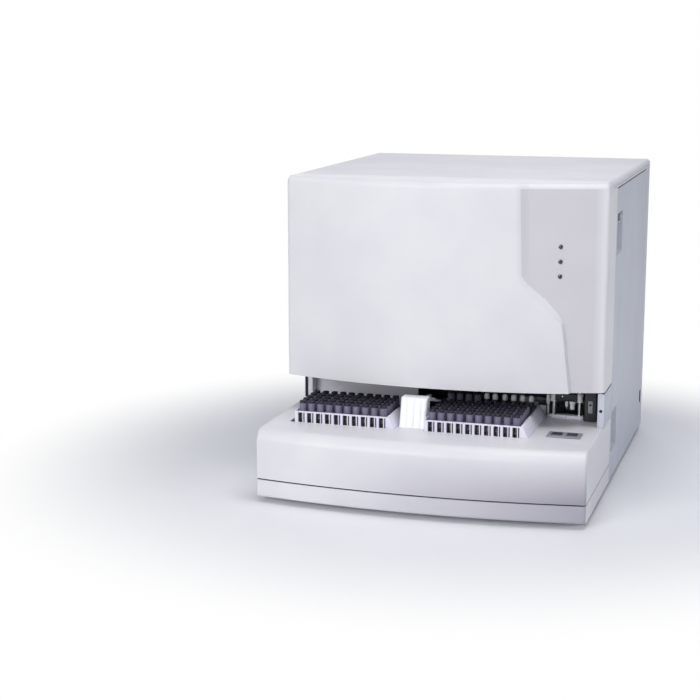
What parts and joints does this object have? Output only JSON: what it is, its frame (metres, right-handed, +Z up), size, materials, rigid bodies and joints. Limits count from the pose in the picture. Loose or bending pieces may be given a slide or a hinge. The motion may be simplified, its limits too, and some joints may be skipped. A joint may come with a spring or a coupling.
{
  "type": "hematology analyzer",
  "caption": "Benchtop hematology analyzer: boxy casing with a bowed front cover over an open bay where capped sample tubes stand in racks on a protruding deck.",
  "frame": {"origin": "centre of the footprint, on the surface the feet stand on", "axes": "-Y is the front, where the racks are loaded; +X is the user's right; +Z is up"},
  "size_m": [0.7, 0.94, 0.675],
  "materials": {
    "casing": "fine satin texture",
    "casing_panel": "powder coated",
    "rack_plastic": "matte",
    "tray_plastic": "satin",
    "white_plastic": "satin",
    "dark_plastic": "matte",
    "key_grey": "matte",
    "rubber": "matte",
    "steel": "bright",
    "sheet_metal": "mill",
    "lens_black": "unlit indicator lens",
    "clear_plastic": "clear acrylic",
    "board_green": "solder mask",
    "pump_grey": "matte"
  },
  "bodies": {
    "casing": {"foot_front_left": "rubber", "foot_front_right": "rubber", "foot_rear_left": "rubber", "foot_rear_right": "rubber", "base_plinth": "casing", "deck_cover": "casing", "top_lid": "casing", "cover_hinge_rod": "steel", "left_side_panel": "casing_panel", "rear_shell": "casing_panel", "feed_deck": "sheet_metal", "tray_left": "tray_plastic", "tray_right": "tray_plastic", "lane_guide_rail": "white_plastic", "barcode_reader": "white_plastic", "bay_liner": "casing_panel", "right_pillar": "casing_panel", "key_plate": "key_grey", "chassis_frame": "sheet_metal", "fluidics_bulkhead": "sheet_metal", "probe_guides": "steel", "sample_sensor": "dark_plastic", "sampling_rails": "steel", "syringe_block": "clear_plastic", "pump_head": "pump_grey", "valve_bank": "white_plastic", "counting_chamber": "clear_plastic", "optics_unit": "dark_plastic", "main_board": "board_green", "power_supply": "sheet_metal", "fan_frame": "dark_plastic", "power_inlet": "dark_plastic", "fluid_port_plate": "sheet_metal"},
    "front_cover": {"front_cover": "casing", "indicator_strip": "lens_black"},
    "right_side_door": {"right_side_door": "casing_panel"},
    "left_racks": {"load_pusher": "steel", "rack_left_1": "rack_plastic", "rack_left_2": "rack_plastic", "rack_left_3": "rack_plastic", "rack_left_4": "rack_plastic", "rack_left_5": "rack_plastic"},
    "right_racks": {"rack_right_1": "rack_plastic", "rack_right_2": "rack_plastic", "rack_right_3": "rack_plastic", "rack_right_4": "rack_plastic", "rack_right_5": "rack_plastic"},
    "unload_pusher": {"unload_pusher": "steel"},
    "lane_rack": {"rack_in_lane": "rack_plastic"},
    "open_probe": {"open_probe_head": "white_plastic"},
    "piercing_probe": {"piercing_probe": "sheet_metal"},
    "mixer_arm": {"mixer_arm": "casing_panel"},
    "mixer_gripper": {"mixer_gripper": "steel"},
    "key_start": {"key_start": "dark_plastic"},
    "key_priority": {"key_priority": "dark_plastic"},
    "syringe_plunger_1": {"syringe_plunger_1": "steel"},
    "syringe_plunger_2": {"syringe_plunger_2": "steel"},
    "pump_rotor": {"pump_rotor": "white_plastic"},
    "fan_rotor": {"fan_rotor": "dark_plastic"},
    "power_rocker": {"power_rocker": "dark_plastic"}
  },
  "joints": [
    {"name": "front_cover_lift", "type": "hinge", "parent": "casing", "child": "front_cover", "pos_m": [0, -0.1715, 0.6736], "axis": [-1, 0, 0], "range_deg": [0, 75]},
    {"name": "side_door_swing", "type": "hinge", "parent": "casing", "child": "right_side_door", "pos_m": [0.35, 0.395, 0.33], "axis": [0, 0, 1], "range_deg": [0, 100]},
    {"name": "left_racks_feed", "type": "slide", "parent": "casing", "child": "left_racks", "axis": [0, 1, 0], "range_m": [0, 0.07]},
    {"name": "right_racks_feed", "type": "slide", "parent": "casing", "child": "right_racks", "axis": [0, 1, 0], "range_m": [0, 0.03]},
    {"name": "unload_push", "type": "slide", "parent": "casing", "child": "unload_pusher", "axis": [0, -1, 0], "range_m": [0, 0.03]},
    {"name": "lane_rack_shift", "type": "slide", "parent": "casing", "child": "lane_rack", "axis": [-1, 0, 0], "range_m": [0, 0.28]},
    {"name": "open_probe_lower", "type": "slide", "parent": "casing", "child": "open_probe", "axis": [0, 0, -1], "range_m": [0, 0.012]},
    {"name": "piercing_probe_lower", "type": "slide", "parent": "casing", "child": "piercing_probe", "axis": [0, 0, -1], "range_m": [0, 0.05]},
    {"name": "mixer_lift", "type": "slide", "parent": "casing", "child": "mixer_arm", "axis": [0, 0, 1], "range_m": [0, 0.06]},
    {"name": "mixer_turn", "type": "hinge", "parent": "mixer_arm", "child": "mixer_gripper", "pos_m": [0.07, -0.1343, 0.262], "axis": [1, 0, 0], "range_deg": [0, 170]},
    {"name": "start_key_press", "type": "slide", "parent": "casing", "child": "key_start", "axis": [0, 0, -1], "range_m": [0, 0.0015], "stiffness_N_per_m": 600, "springref_m": -0.0008},
    {"name": "priority_key_press", "type": "slide", "parent": "casing", "child": "key_priority", "axis": [0, 0, -1], "range_m": [0, 0.0015], "stiffness_N_per_m": 600, "springref_m": -0.0008},
    {"name": "plunger_1_stroke", "type": "slide", "parent": "casing", "child": "syringe_plunger_1", "axis": [0, 0, 1], "range_m": [0, 0.045]},
    {"name": "plunger_2_stroke", "type": "slide", "parent": "casing", "child": "syringe_plunger_2", "axis": [0, 0, 1], "range_m": [0, 0.045]},
    {"name": "pump_spin", "type": "hinge", "parent": "casing", "child": "pump_rotor", "pos_m": [-0.06, -0.0806, 0.52], "axis": [0, -1, 0], "continuous": true},
    {"name": "fan_spin", "type": "hinge", "parent": "casing", "child": "fan_rotor", "pos_m": [-0.19, 0.445, 0.5], "axis": [0, 1, 0], "continuous": true},
    {"name": "power_rocker_tilt", "type": "hinge", "parent": "casing", "child": "power_rocker", "pos_m": [0.346, 0.425, 0.088], "axis": [0, 1, 0], "range_deg": [-8, 8]}
  ]
}
